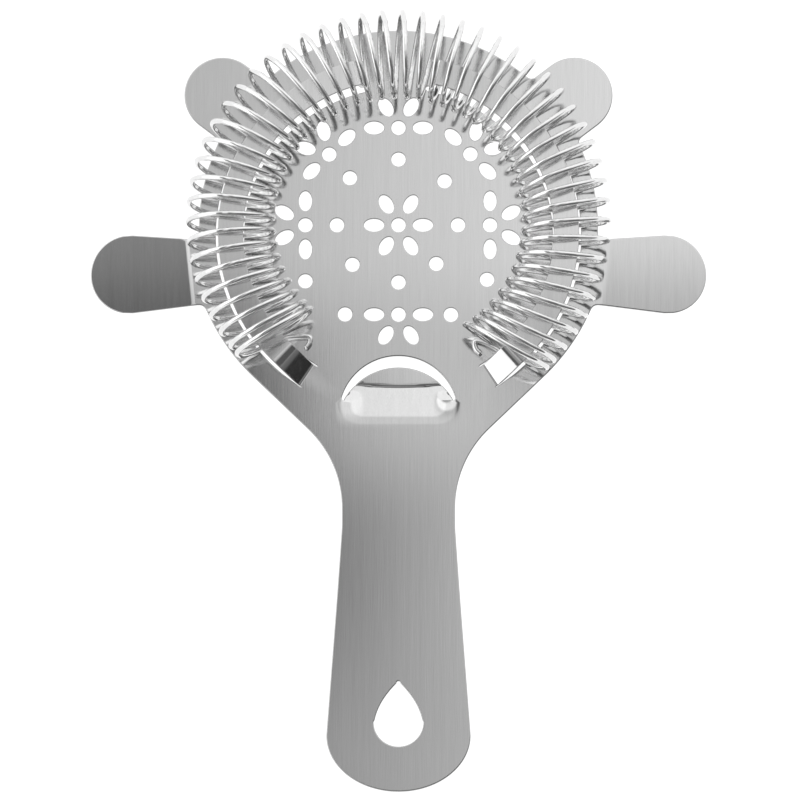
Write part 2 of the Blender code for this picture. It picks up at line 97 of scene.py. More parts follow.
# Arms: straps between two curved cuts, lifted towards the spring and joined to the sheet at both ends
ARM_CENTRE_Y, ARM_R, ARM_HALF, ARM_END_DEG = -1.75, 33.0, 2.5, 147.2
OUTER_CUT, INNER_CUT, CUT_FINE = 0.4, 1.0, 0.12
OUTER_FADE_FROM, OUTER_FADE_OVER = 95, 40
INNER_FADE_TO, INNER_FADE_OVER = 80, 60
INNER_END_FROM, INNER_END_OVER, INNER_END_EXTRA = 115, 20, 0.08
CUT_LEAD_DEG = 0.2
CUT_END_DEG = {1: 147.5, -1: 148.3}
ARM_START_DEG = {1: 11.5, -1: 12.7}
START_SLOPE_DEG, START_BEND_R = 80.0, 0.47
END_SLOPE_DEG, END_TOP_R, END_LOW_R = 47.0, 4.2, 1.3
RISE_START, RISE_SIDE, RISE_END = 3.8, 5.0, 4.8
PER_DEGREE = ARM_R * math.pi / 180
ARM_GUIDES = (-1.5, 0.0, 1.5)

# How far past its own edge a point still counts as on an arm or the tab
SLACK = 0.02

# The wire is drawn a hair under its 0.55 mm, so that it stays inside the CAD part's box
WIRE_R, COIL_R, RING_R, COIL_Z = 0.53, 8.35, 32.95, 9.15
TURNS = 49
FIRST_DEG, LAST_DEG = -128.4, 134.4
PITCH_MID, PITCH_DROP, PITCH_END = 5.72, 0.62, 2.75
CLOSE_TURNS, CLOSE_FADE = 1.6, 0.8
LEAN_DEG, LEAN_FULL_AT = 1.6, 88
DRIFT_RIGHT, DRIFT_LEFT, DRIFT_FROM, DRIFT_OVER = 0.7, -1.6, -5.0, 90.0
STEPS_PER_TURN, WIRE_SIDES, END_STEPS = 44, 12, 10
LAST_HALF_TURN_PITCH = 2.2 * PITCH_END

# End loops of the wire: ring degrees, radius and height of the points that its middle line goes through
LEFT_END = (
    (-143.1, 30.1, 0.8), (-142.9, 28.8, 0.8), (-141.0, 28.2, 0.85), (-135.6, 31.0, 0.8),
    (-133.0, 34.2, 0.85), (-131.5, 38.0, 2.3), (-130.6, 40.6, 5.6),
)
RIGHT_END = (
    (145.2, 26.2, 4.6), (142.0, 29.2, 1.4), (139.3, 31.8, 0.85), (138.1, 33.4, 0.8),
    (139.1, 34.2, 0.8), (140.6, 33.0, 0.8), (142.1, 30.5, 0.8), (144.6, 28.2, 0.8),
    (146.8, 27.4, 0.8), (147.9, 28.6, 0.8), (147.4, 29.9, 0.8),
)
WIRE_TIP = ((0.45, 0.3), (0.8, 0.1))  # share of the wire's radius, and distance past the end of its middle line
WIRE_START_UP = (0.3, 0.5, 0.8)


def ring_point(radius, degrees, centre_y=0.0):
    """The point at a ring angle on a circle about the centre line."""
    a = math.radians(degrees)
    return (radius * math.sin(a), centre_y + radius * math.cos(a))


def arc(centre, radius, start, end, count):
    """Points on a circle, from start to end degrees counter-clockwise from +X."""
    angles = np.radians(np.linspace(start, end, count))
    return [(centre[0] + radius * math.cos(a), centre[1] + radius * math.sin(a)) for a in angles]


def ring_arc(radius, start, end, count, centre_y=0.0):
    """Points on a circle, from one ring angle to another."""
    return [ring_point(radius, d, centre_y) for d in np.linspace(start, end, count)]


def ring_angle(p):
    """The ring angle of a point."""
    return math.degrees(math.atan2(p[0], p[1]))


def smooth(t):
    """0 below 0, 1 above 1, and eased between them."""
    t = min(max(t, 0.0), 1.0)
    return t * t * (3 - 2 * t)


# The flat sheet ---------------------------------------------------------------------------------


def line_meets_circle(point, direction, radius):
    """Where a line meets a circle about the rim's middle: its near side if the line heads for it, or its far side."""
    b = point[0] * direction[0] + point[1] * direction[1]
    c = point[0] ** 2 + point[1] ** 2 - radius**2
    t = -b - math.sqrt(b * b - c) if b < 0 else -b + math.sqrt(b * b - c)
    return (point[0] + t * direction[0], point[1] + t * direction[1])


def root_fillet(corner, to_rim, to_wing, size, count=8):
    """A short curve from the rim into a wing's side, in place of their sharp corner."""
    corner = np.array(corner)
    a, b = corner + size * np.array(to_rim), corner + size * np.array(to_wing)
    return [tuple((1 - t) ** 2 * a + 2 * t * (1 - t) * corner + t * t * b) for t in np.linspace(0, 1, count)]


def wing_outline(axis_deg, centre, half_root, half_end, end_centre, back_radius):
    """Clockwise: fillet and side, round end, side and fillet."""
    a = math.radians(axis_deg)
    along = np.array([math.sin(a), math.cos(a)])
    across = np.array([-math.cos(a), math.sin(a)])
    base = np.array(centre)
    slope = math.atan2(half_end - half_root, end_centre - RIM_R)
    before, after = [], []
    for sign, store, radius in ((1, before, RIM_R), (-1, after, back_radius)):
        end = base + along * (end_centre - half_end * math.sin(slope)) + across * sign * half_end
        inward = -along * math.cos(slope) - across * sign * math.sin(slope)
        corner = np.array(line_meets_circle(tuple(end), tuple(inward), radius))
        tangent = np.array([-corner[1], corner[0]]) / radius * sign
        fillet = root_fillet(tuple(corner), tuple(tangent), tuple(-inward), ROOT_FILLET)
        last = np.array(fillet[-1])
        steps = max(2, int(np.linalg.norm(end - last) / WING_SIDE_STEP))
        store.extend(fillet)
        store.extend(tuple(last + (end - last) * t) for t in np.linspace(0, 1, steps)[1:])
    spread = math.degrees(slope)
    middle = base + along * end_centre
    facing = 90 - axis_deg
    tip = arc(tuple(middle), half_end, facing + 90 - spread, facing - 90 + spread, count=49)
    return before + tip[1:-1] + after[::-1]


def right_half_outline():
    """From the front middle, clockwise, to the end of the handle."""
    upper = wing_outline(
        UPPER_WING_DEG, (0, 0), UPPER_WING_HALF, UPPER_WING_HALF,
        UPPER_WING_TIP - UPPER_WING_HALF, RIM_R,
    )
    lower = wing_outline(
        90.0, (0, LOWER_WING_Y), LOWER_WING_ROOT_HALF, LOWER_WING_END_HALF,
        LOWER_WING_TIP - LOWER_WING_END_HALF, SHOULDER_R,
    )
    points = ring_arc(RIM_R, 0, ring_angle(upper[0]), count=56)[:-1] + upper
    points += ring_arc(RIM_R, ring_angle(upper[-1]), ring_angle(lower[0]), count=26)[1:-1] + lower

    # The shoulder: round the rim to where its straight line touches, then along the line to the neck's curve
    a = math.radians(SHOULDER_LINE_DEG)
    normal = (math.sin(a), -math.cos(a))
    points += ring_arc(SHOULDER_R, ring_angle(lower[-1]), ring_angle(normal), count=30)[1:]
    centre_x = NECK_HALF + NECK_FILLET
    centre_y = (normal[0] * centre_x - SHOULDER_R - NECK_FILLET) / math.cos(a)
    start = math.degrees(math.atan2(math.cos(a), -math.sin(a)))
    curve = arc((centre_x, centre_y), NECK_FILLET, start, 180, count=34)
    last = np.array(points[-1])
    points += [tuple(last + (np.array(curve[0]) - last) * t) for t in np.linspace(0, 1, 14)[1:-1]]
    points += curve

    # The handle: its side, then its round end
    for t in np.linspace(0, 1, 36)[1:]:
        y = curve[-1][1] + t * (HANDLE_END_Y - curve[-1][1])
        spread = max(NECK_END_Y - y, 0) / (NECK_END_Y - HANDLE_END_Y)
        spread = spread - HANDLE_BOW * math.sin(math.pi * spread) * (1 - spread)
        points.append((NECK_HALF + (HANDLE_HALF - NECK_HALF) * spread, y))
    depth = HANDLE_END_Y - HANDLE_TIP_Y
    for t in np.radians(np.linspace(0, 90, 46))[1:]:
        points.append((HANDLE_HALF * math.cos(t), HANDLE_END_Y - depth * math.sin(t)))
    return points


def outline():
    """The whole outline, clockwise from the front middle."""
    right = right_half_outline()
    left = [(-x, y) for x, y in reversed(right[1:-1])]
    return right + left


def round_hole(x, y, count=36):
    return arc((x, y), ROUND_R, 0, 360 - 360 / count, count)


def petal(x, y, degrees, count=40):
    """An oval hole, its long axis at an angle counter-clockwise from +X."""
    a = math.radians(degrees)
    points = []
    for t in np.linspace(0, 2 * math.pi, count, endpoint=False):
        u, v = PETAL_LONG * math.cos(t), PETAL_SHORT * math.sin(t)
        points.append((x + u * math.cos(a) - v * math.sin(a), y + u * math.sin(a) + v * math.cos(a)))
    return points


def flower(x, y, petal_degrees):
    """A round hole with petals about it."""
    holes = [round_hole(x, y)]
    for d in petal_degrees:
        a = math.radians(d)
        holes.append(petal(x + PETAL_AT * math.cos(a), y + PETAL_AT * math.sin(a), d))
    return holes


def sieve_holes():
    """A flower in the middle, a ring of round holes, six outer flowers and four single holes."""
    holes = flower(0, SIEVE_MIDDLE_Y, range(0, 360, 60))
    holes += [round_hole(*ring_point(radius, degrees, SIEVE_MIDDLE_Y)) for degrees, radius in RING_HOLES]
    for degrees, radius in FLOWERS:
        facing = 90 - degrees
        petals = [facing - 90, facing - 31, facing + 31, facing + 90]
        holes += flower(*ring_point(radius, degrees, SIEVE_MIDDLE_Y), petals)
    return holes + [round_hole(x, y) for x, y in SINGLE_HOLES]


def drop_hole():
    """The hanging hole: a half circle, two swelling sides and a rounded point."""
    bottom = arc((0, DROP_WIDE_Y), DROP_HALF, 0, -180, count=50)
    side = []
    for t in np.linspace(0, 1, 22)[1:-1]:
        y = DROP_WIDE_Y + t * (DROP_APEX_Y - DROP_WIDE_Y)
        half = DROP_HALF * (1 - t) * (1 + DROP_SWELL * t) * DROP_TAPER + DROP_BOW * math.sin(math.pi * t)
        side.append((-half, y))
    apex = arc((0, DROP_APEX_Y - DROP_APEX_R), DROP_APEX_R, 150, 30, count=9)
    return bottom + side + apex + [(-x, y) for x, y in reversed(side)]


def tab_cut():
    """The crescent between the finger tab and the plate."""
    far = math.degrees(math.asin(TAB_CUT_END_X / TAB_CUT_R))
    near = math.degrees(math.asin(TAB_EDGE_END_X / TAB_EDGE_R))
    plate_side = ring_arc(TAB_CUT_R, -far, far, count=90, centre_y=TAB_CUT_Y)
    return plate_side + ring_arc(TAB_EDGE_R, near, -near, count=90, centre_y=TAB_EDGE_Y)


def cut_gap(sign, degrees):
    """Width of the cut along an arm's outer (1) or inner (-1) edge."""
    if sign > 0:
        return OUTER_CUT - (OUTER_CUT - CUT_FINE) * smooth((degrees - OUTER_FADE_FROM) / OUTER_FADE_OVER)
    front = smooth((INNER_FADE_TO - degrees) / INNER_FADE_OVER)
    end = smooth((degrees - INNER_END_FROM) / INNER_END_OVER)
    return CUT_FINE + (INNER_CUT - CUT_FINE) * front + INNER_END_EXTRA * end


def cut_end(sign, edge, degrees, ahead):
    """The round blind end of a cut, from its far side to the arm's edge."""
    gap = cut_gap(sign, degrees)
    points = []
    for a in np.linspace(0, math.pi, 9)[1:-1]:
        d = degrees + ahead * gap / 2 * math.sin(a) / PER_DEGREE
        points.append(ring_point(edge + sign * gap * (1 + math.cos(a)) / 2, d, ARM_CENTRE_Y))
    return points


def arm_cut(side, sign):
    """The curved cut along one edge of an arm."""
    bends = [ARM_START_DEG[side] - CUT_LEAD_DEG, *(ARM_LINES[side][0] / PER_DEGREE), CUT_END_DEG[sign]]
    edge = ARM_R + sign * ARM_HALF
    far = [ring_point(edge + sign * cut_gap(sign, d), d, ARM_CENTRE_Y) for d in bends]
    near = [ring_point(edge, d, ARM_CENTRE_Y) for d in bends]
    loop = far + cut_end(sign, edge, bends[-1], 1) + near[::-1] + cut_end(sign, edge, bends[0], -1)[::-1]
    return [(side * x, y) for x, y in loop]


def signed_area(loop):
    """Area inside a loop, positive if it runs counter-clockwise."""
    p = np.array(loop)
    q = np.roll(p, -1, axis=0)
    return float((p[:, 0] * q[:, 1] - q[:, 0] * p[:, 1]).sum() / 2)


def inward_normals(loop):
    """Unit vectors into the material at each corner. The loop has the material on its left."""
    p = np.array(loop)
    ahead = np.roll(p, -1, axis=0) - p
    ahead /= np.linalg.norm(ahead, axis=1)[:, None]
    back = np.roll(ahead, 1, axis=0)
    left = np.stack([-(ahead[:, 1] + back[:, 1]), ahead[:, 0] + back[:, 0]], axis=1)
    return left / np.maximum(np.linalg.norm(left, axis=1)[:, None], 1e-9)


def inside(points, loop):
    """Which points lie inside a loop."""
    x, y = points[:, 0], points[:, 1]
    hit = np.zeros(len(points), bool)
    corners = np.array(loop)
    for (x0, y0), (x1, y1) in zip(corners, np.roll(corners, -1, axis=0)):
        if y0 == y1:
            continue
        crosses = (y0 > y) != (y1 > y)
        hit ^= crosses & (x < (x1 - x0) * (y - y0) / (y1 - y0) + x0)
    return hit


# Folding it -------------------------------------------------------------------------------------


def s_bend(slope_deg, height, first_r, second_r, steps):
    """Run and height along a ramp that bends off the level and back onto it, as two arrays."""
    slope = math.radians(slope_deg)
    first, second = np.linspace(0, slope, steps), np.linspace(slope, 0, steps)
    bent = (first_r + second_r) * (1 - math.cos(slope))
    x = first_r * math.sin(slope) + (height - bent) / math.tan(slope)
    z = first_r * (1 - math.cos(slope)) + height - bent
    run = [first_r * np.sin(first), x + second_r * (math.sin(slope) - np.sin(second))]
    rise = [first_r * (1 - np.cos(first)), z + second_r * (np.cos(second) - math.cos(slope))]
    return np.concatenate(run), np.concatenate(rise)


def arm_line(start_deg):
    """The arm seen from the side: distance along its arc and height over the sheet, as two arrays."""
    up_run, up = s_bend(START_SLOPE_DEG, RISE_START, START_BEND_R, START_BEND_R, steps=12)
    down_run, down = s_bend(END_SLOPE_DEG, RISE_END, END_TOP_R, END_LOW_R, steps=14)
    start, end = start_deg * PER_DEGREE, ARM_END_DEG * PER_DEGREE - down_run[-1]
    top = start + up_run[-1]
    t = np.linspace(0, 1, 120)[1:-1]
    flank = (90 * PER_DEGREE - top) / (end - top)
    height = RISE_START + (RISE_SIDE - RISE_START) * np.sin(np.minimum(t / flank, 1) * math.pi / 2)
    height += (RISE_END - RISE_SIDE) * np.maximum(t - flank, 0) / (1 - flank)
    run = [start + up_run, top + t * (end - top), end + down_run]
    return np.concatenate(run), np.concatenate([up, height, RISE_END - down])


ARM_LINES = {side: arm_line(start) for side, start in ARM_START_DEG.items()}


def arm_mid(x, y):
    """A point of an arm, and its spring-side normal."""
    side = 1 if x > 0 else -1
    radius, angle = math.hypot(x, y - ARM_CENTRE_Y), math.atan2(side * x, y - ARM_CENTRE_Y)
    s = angle * ARM_R
    line = ARM_LINES[side]
    step = 0.06
    height = float(np.interp(s, *line))
    rise = float(np.interp(s + step, *line) - np.interp(s - step, *line)) / (2 * step)
    ahead = np.array([side * math.cos(angle), -math.sin(angle), 0.0])
    slope = math.atan(rise)
    normal = np.array([0, 0, math.cos(slope)]) - ahead * math.sin(slope)
    return np.array([x, y, height]), normal


def wing_mid(x, y):
    """A point of a lower wing, and its spring-side normal."""
    side = 1 if x > 0 else -1
    slant = math.radians(WING_FOLD_SLANT_DEG)
    out = np.array([side * math.cos(slant), -math.sin(slant), 0.0])
    run = (side * x - WING_FOLD_X) * math.cos(slant) - (y - WING_FOLD_Y) * math.sin(slant)
    if run <= 0:
        return np.array([x, y, 0.0]), np.array([0, 0, 1.0])
    fold = math.radians(WING_FOLD_DEG)
    length = WING_FOLD_R * fold
    slope = min(run / WING_FOLD_R, fold)
    rest = max(run - length, 0)
    advance = WING_FOLD_R * math.sin(slope) + rest * math.cos(fold)
    drop = WING_FOLD_R * (1 - math.cos(slope)) + rest * math.sin(fold)
    point = np.array([x, y, -drop]) + out * (advance - run)
    return point, np.array([0, 0, math.cos(slope)]) + out * math.sin(slope)


def running_depth(y, slope_deg):
    """Depth gained along y, from the slope at each step."""
    steps = np.tan(np.radians(slope_deg))[:-1] * np.diff(y)
    return y, np.concatenate([[0], np.cumsum(steps)])


def press_profile():
    """Depth of the pressed tab against y, as two arrays."""
    y = np.linspace(TAB_ROOT_Y, TAB_FAR_Y, 120)
    return running_depth(y, [TAB_PRESS_DEG * smooth((v - TAB_ROOT_Y) / TAB_PRESS_RUN) for v in y])


def lip_profile():
    """What the lip and the level tip beyond it add to that depth."""
    y = np.linspace(TAB_LIP_Y, TAB_FAR_Y, 120)
    lip, tip = TAB_LIP_DEG - TAB_PRESS_DEG, TAB_TIP_DEG - TAB_LIP_DEG
    slopes = []
    for v in y:
        past = (v - TAB_LIP_Y) / TAB_LIP_RUN
        slopes.append(lip * smooth(past) + tip * smooth(past - 1))
    return running_depth(y, slopes)


PRESS_LINE, LIP_LINE = press_profile(), lip_profile()


def tab_depth(x, y):
    """How far the tab, and the sheet at its root, is pressed away from the spring."""
    side = smooth((TAB_SIDE_X - abs(x)) / TAB_SIDE_RUN)
    free = smooth((y - TAB_CHORD_Y + TAB_FREE_LEAD) / TAB_FREE_RUN)
    depth = float(np.interp(y, *PRESS_LINE)) + float(np.interp(y - TAB_LIP_BOW * x * x, *LIP_LINE))
    return depth * (side + (1 - side) * free)


def tab_mid(x, y):
    """A point of the tab or its root, and its spring-side normal."""
    h = 0.02
    gx = (tab_depth(x + h, y) - tab_depth(x - h, y)) / (2 * h)
    gy = (tab_depth(x, y + h) - tab_depth(x, y - h)) / (2 * h)
    normal = np.array([gx, gy, 1.0])
    return np.array([x, y, -tab_depth(x, y)]), normal / np.linalg.norm(normal)


def on_arm(x, y):
    """Whether a point of the flat sheet is part of an arm."""
    radius = math.hypot(x, y - ARM_CENTRE_Y)
    degrees = math.degrees(math.atan2(abs(x), y - ARM_CENTRE_Y))
    start = ARM_START_DEG[1 if x > 0 else -1]
    return abs(radius - ARM_R) < ARM_HALF + SLACK and start < degrees < ARM_END_DEG


def on_tab(x, y):
    """Whether a point of the flat sheet is part of the tab or its bent root."""
    if y < TAB_CHORD_Y:
        return abs(x) < TAB_SIDE_X and y > TAB_ROOT_Y
    return math.hypot(x, y - TAB_EDGE_Y) < TAB_EDGE_R + SLACK


def folded(x, y):
    """The mid-plane point and the spring-side normal of the folded sheet."""
    if on_arm(x, y):
        point, normal = arm_mid(x, y)
    elif on_tab(x, y):
        point, normal = tab_mid(x, y)
    elif abs(x) > WING_FOLD_X - WING_FOLD_LEAD and WING_LOW_Y < y < WING_HIGH_Y:
        point, normal = wing_mid(x, y)
    else:
        point, normal = np.array([x, y, 0.0]), np.array([0, 0, 1.0])
    point[2] -= SHEET / 2
    return point, normal


def guide_points():
    """Extra points where the sheet is bent away from its cut edges."""
    points = []

    # A grid over the tab and its root, which stops short of the cut
    clear_r, clear_y = TAB_EDGE_R - 0.35, TAB_CHORD_Y - 0.25
    for y in np.arange(TAB_ROOT_Y - 0.3, TAB_EDGE_Y + TAB_EDGE_R - 0.4, 0.35):
        for x in np.arange(-TAB_SIDE_X - 0.4, TAB_SIDE_X + 0.5, 0.4):
            on_tip = y >= TAB_CHORD_Y and math.hypot(x, y - TAB_EDGE_Y) < clear_r
            if on_tip or y < clear_y:
                points.append((x, y))

    # Lines along the fold of each lower wing, and just outside it
    slant = math.radians(WING_FOLD_SLANT_DEG)
    length = WING_FOLD_R * math.radians(WING_FOLD_DEG)
    for offset in (-0.25, 0.0, length / 4, length / 2, length * 3 / 4, length, length + 0.25):
        for side in (1, -1):
            for v in np.linspace(-6.2, 6.2, 32):
                u = WING_FOLD_X + offset * math.cos(slant) + v * math.sin(slant)
                points.append((side * u, WING_FOLD_Y + v * math.cos(slant) - offset * math.sin(slant)))

    # Lines along each arm
    for side, line in ARM_LINES.items():
        for d in line[0] / PER_DEGREE:
            for across in ARM_GUIDES:
                x, y = ring_point(ARM_R + across, d, ARM_CENTRE_Y)
                points.append((side * x, y))
    return points


PROFILE = [math.radians(a) for a in (0, 22.5, 45, 67.5, 90)]
PROBE = 0.03


def edge_rows(rounding):
    """The rounded edge's section, from the spring side to the back: inset, height, angle and side of each row."""
    rows = []
    for sign in (1, -1):
        for a in PROFILE if sign > 0 else PROFILE[::-1]:
            height = sign * (SHEET / 2 - rounding * (1 - math.cos(a)))
            rows.append((rounding * (1 - math.sin(a)), height, a, sign))
    return rows


def edge_bases(loop, inward):
    """For each corner of a loop: its folded mid-plane point, its normal, and the way into the material."""
    bases = []
    for (x, y), v in zip(loop, inward):
        point, normal = folded(x, y)
        shifted, _ = folded(x + v[0] * PROBE, y + v[1] * PROBE)
        into = shifted - point
        into -= normal * into.dot(normal)
        bases.append((point, normal, into / np.linalg.norm(into)))
    return bases


def fill(points, edges, insets):
    """Triangles between the inset loops, the points they use, and the index that each point was given by."""
    out = delaunay_2d_cdt([Vector(p) for p in points], edges, [], 0, 1e-6)
    found = np.array([tuple(p) for p in out[0]])
    triangles = np.array([tuple(f) for f in out[2]])
    centres = found[triangles].mean(axis=1)
    keep = inside(centres, insets[0])
    for inset in insets[1:]:
        keep &= ~inside(centres, inset)
    return triangles[keep], found, [ids[0] if ids else -1 for ids in out[3]]


def build_sheet():
    """The sheet as one closed mesh: two faces, and a rounded edge round every outline."""
    loops = [(outline(), EDGE_ROUND), (tab_cut(), EDGE_ROUND), (drop_hole(), EDGE_ROUND)]
    loops += [(arm_cut(side, sign), HOLE_ROUND) for side in (1, -1) for sign in (1, -1)]
    loops += [(hole, HOLE_ROUND) for hole in sieve_holes()]
    verts, normals, faces, wall = [], [], [], []
    insets, flat, edges, ends = [], [], [], []
    for n, (loop, rounding) in enumerate(loops):
        if signed_area(loop) * (1 if n == 0 else -1) < 0:
            loop = loop[::-1]
        inward = inward_normals(loop)
        bases, rows = edge_bases(loop, inward), edge_rows(rounding)
        count, first = len(loop), len(verts)
        for shrink, height, a, sign in rows:
            wall += [math.sin(a)] * count
            for point, normal, into in bases:
                verts.append(point + into * shrink + normal * height)
                normals.append(-into * math.sin(a) + normal * sign * math.cos(a))
        last = first + (len(rows) - 1) * count
        for row in range(first, last, count):
            for i in range(count):
                j = (i + 1) % count
                faces.append((row + i, row + count + i, row + count + j, row + j))
        edges += [(len(flat) + i, len(flat) + (i + 1) % count) for i in range(count)]
        ends += [(first + i, last + i) for i in range(count)]
        insets.append([tuple(np.array(p) + v * rounding) for p, v in zip(loop, inward)])
        flat += insets[-1]
    triangles, found, origin = fill(flat + guide_points(), edges, insets)
    made = {}
    for i in np.unique(triangles):
        if 0 <= origin[i] < len(ends):
            made[i] = ends[origin[i]]
            continue
        point, normal = folded(*found[i])
        made[i] = (len(verts), len(verts) + 1)
        verts += [point + normal * SHEET / 2, point - normal * SHEET / 2]
        normals += [normal, -normal]
        wall += [0.0, 0.0]
    for a, b, c in triangles:
        u, v = found[b] - found[a], found[c] - found[a]
        if u[0] * v[1] - u[1] * v[0] < 0:
            b, c = c, b
        faces.append((made[a][0], made[b][0], made[c][0]))
        faces.append((made[a][1], made[c][1], made[b][1]))
    sheet = mesh_object("sheet_fine", verts, faces, normals)
    # This per-point value marks the rounded cut walls, where the material paints shade into the colour
    sheet.data.attributes.new("cut_wall_shade", "FLOAT", "POINT").data.foreach_set("value", wall)
    return sheet


def mesh_object(name, verts, faces, normals=None):
    """A smooth-shaded object from points in mm about the rim's middle, with its own normals if they are given."""
    data = bpy.data.meshes.new(name)
    placed = (np.array(verts) + (0.0, SEAT_R, 0.0)) * MM
    data.from_pydata([tuple(v) for v in placed], [], [tuple(int(i) for i in f) for f in faces])
    data.update()
    data.polygons.foreach_set("use_smooth", [True] * len(data.polygons))
    if normals is not None:
        unit = np.array(normals)
        unit /= np.linalg.norm(unit, axis=1)[:, None]
        data.normals_split_custom_set_from_vertices([tuple(n) for n in unit])
    obj = bpy.data.objects.new(name, data)
    bpy.context.scene.collection.objects.link(obj)
    return obj


# The spring -------------------------------------------------------------------------------------


def drifted(degrees):
    """The turns on the left stand a little further round than those on the right."""
    return degrees + DRIFT_RIGHT + (DRIFT_LEFT - DRIFT_RIGHT) * smooth((DRIFT_FROM - degrees) / DRIFT_OVER)


def turn_angles():
    """The ring angle that the coil has reached at each turn, as two arrays: close-wound towards both ends."""
    fine = np.linspace(0, TURNS, TURNS * 40 + 1)
    off = np.abs(2 * fine / TURNS - 1)
    pitch = PITCH_MID - PITCH_DROP * off**4
    close = np.array([smooth((CLOSE_TURNS - min(t, TURNS - t)) / CLOSE_FADE) for t in fine])
    pitch = pitch * (1 - close) + PITCH_END * close
    angle = np.concatenate([[0], np.cumsum((pitch[1:] + pitch[:-1]) / 2)])
    angle = FIRST_DEG + (LAST_DEG - FIRST_DEG) * angle / angle[-1]
    return fine, [drifted(a) for a in angle]


TURN_ANGLES = turn_angles()


def coil_point(turn):
    """A point on the wire's mid-line. Whole turns are on the outside of the ring."""
    phase = 2 * math.pi * turn
    angle = float(np.interp(min(max(turn, 0), TURNS), *TURN_ANGLES))
    if turn > TURNS:
        angle += (turn - TURNS) * LAST_HALF_TURN_PITCH
    inward = (1 - math.cos(phase)) / 2
    angle += math.copysign(LEAN_DEG * (abs(angle) / LEAN_FULL_AT) ** 4, angle) * inward
    x, y = ring_point(RING_R + COIL_R * math.cos(phase), angle)
    return (x, y, COIL_Z + COIL_R * math.sin(phase))


def curve_through(points, steps):
    """A smooth curve through points, with a number of steps between each two."""
    p = np.array([2 * np.array(points[0]) - points[1], *points, 2 * np.array(points[-1]) - points[-2]])
    out = []
    for i in range(1, len(p) - 2):
        for t in np.linspace(0, 1, steps, endpoint=False):
            a = 2 * p[i]
            b = p[i + 1] - p[i - 1]
            c = 2 * p[i - 1] - 5 * p[i] + 4 * p[i + 1] - p[i + 2]
            d = 3 * p[i] - 3 * p[i + 1] + p[i + 2] - p[i - 1]
            out.append((a + b * t + c * t * t + d * t**3) / 2)
    out.append(p[-2])
    return out


def ring_place(degrees, radius, z):
    return (*ring_point(radius, degrees), z)


def wire_mid_line():
    """An end loop beside each arm's foot, and the coil between them."""
    left = [ring_place(*place) for place in LEFT_END] + [coil_point(0.0)]
    turns = np.arange(0, (TURNS + 0.5) * STEPS_PER_TURN + 1) / STEPS_PER_TURN
    coil = [np.array(coil_point(t)) for t in turns]
    right = [coil_point(TURNS + 0.5)] + [ring_place(*place) for place in RIGHT_END]
    return curve_through(left, END_STEPS)[:-1] + coil + curve_through(right, END_STEPS)[1:]


def build_wire():
    """The wire as one closed tube with rounded ends."""
    p = np.array(wire_mid_line())
    ahead = np.gradient(p, axis=0)
    ahead /= np.linalg.norm(ahead, axis=1)[:, None]
    up = np.cross(ahead[0], WIRE_START_UP)
    verts, faces = [], []
    angles = np.arange(WIRE_SIDES) * 2 * math.pi / WIRE_SIDES
    stations = [(0, width, -past) for width, past in WIRE_TIP]
    stations += [(i, 1.0, 0.0) for i in range(len(p))]
    stations += [(len(p) - 1, width, past) for width, past in reversed(WIRE_TIP)]
    for i, width, past in stations:
        t = ahead[i]
        up = up - t * np.dot(up, t)
        up /= np.linalg.norm(up)
        side = np.cross(t, up)
        centre = p[i] + t * past
        for a in angles:
            verts.append(centre + WIRE_R * width * (up * math.cos(a) + side * math.sin(a)))
    last = (len(stations) - 1) * WIRE_SIDES
    for row in range(0, last, WIRE_SIDES):
        for i in range(WIRE_SIDES):
            j = (i + 1) % WIRE_SIDES
            faces.append((row + i, row + j, row + WIRE_SIDES + j, row + WIRE_SIDES + i))
    faces.append(tuple(range(WIRE_SIDES))[::-1])
    faces.append(tuple(last + i for i in range(WIRE_SIDES)))
    return mesh_object("spring_wire", verts, faces)


# Materials --------------------------------------------------------------------------------------

# Scales of the noise, per metre: a small Y scale draws the marks out along the handle
FINE_MARKS, BROAD_MARKS, CLOUDS = (8000.0, 120.0, 8000.0), (1100.0, 14.0, 1100.0), (45.0, 30.0, 45.0)
WIRE_MARKS = (1800.0, 1800.0, 1800.0)
BUMP_HEIGHT = 0.00002


def new_material(name):
    mat = bpy.data.materials.new(name)
    mat.use_nodes = True
    return mat, mat.node_tree, mat.node_tree.nodes["Principled BSDF"]


def maths(tree, operation, *values):
    """A Math node. Each value is a number or another node's output."""
    node = tree.nodes.new("ShaderNodeMath")
    node.operation = operation
    for socket, value in zip(node.inputs, values):
        if isinstance(value, (int, float)):
            socket.default_value = value
        else:
            tree.links.new(value, socket)
    return node.outputs[0]


def between(tree, value, span, result, kind="LINEAR"):
    """A value taken from one range to another, and kept inside it. Each limit is a number or a node's output."""
    node = tree.nodes.new("ShaderNodeMapRange")
    node.interpolation_type = kind
    for name, limit in zip(("From Min", "From Max", "To Min", "To Max"), (*span, *result)):
        if isinstance(limit, (int, float)):
            node.inputs[name].default_value = limit
        else:
            tree.links.new(limit, node.inputs[name])
    tree.links.new(value, node.inputs["Value"])
    return node.outputs["Result"]


def noise(tree, scale, detail):
    """Noise with its own scale, per metre, along each axis."""
    place = tree.nodes.new("ShaderNodeTexCoord")
    mapping = tree.nodes.new("ShaderNodeMapping")
    mapping.inputs["Scale"].default_value = scale
    texture = tree.nodes.new("ShaderNodeTexNoise")
    texture.inputs["Scale"].default_value = 1.0
    texture.inputs["Detail"].default_value = detail
    texture.inputs["Roughness"].default_value = 0.6
    tree.links.new(place.outputs["Object"], mapping.inputs["Vector"])
    tree.links.new(mapping.outputs["Vector"], texture.inputs["Vector"])
    return texture.outputs["Fac"]


def bump(tree, shader, height, strength):
    """Fine relief in a shader's surface."""
    node = tree.nodes.new("ShaderNodeBump")
    node.inputs["Strength"].default_value = strength
    node.inputs["Distance"].default_value = BUMP_HEIGHT
    tree.links.new(height, node.inputs["Height"])
    tree.links.new(node.outputs["Normal"], shader.inputs["Normal"])


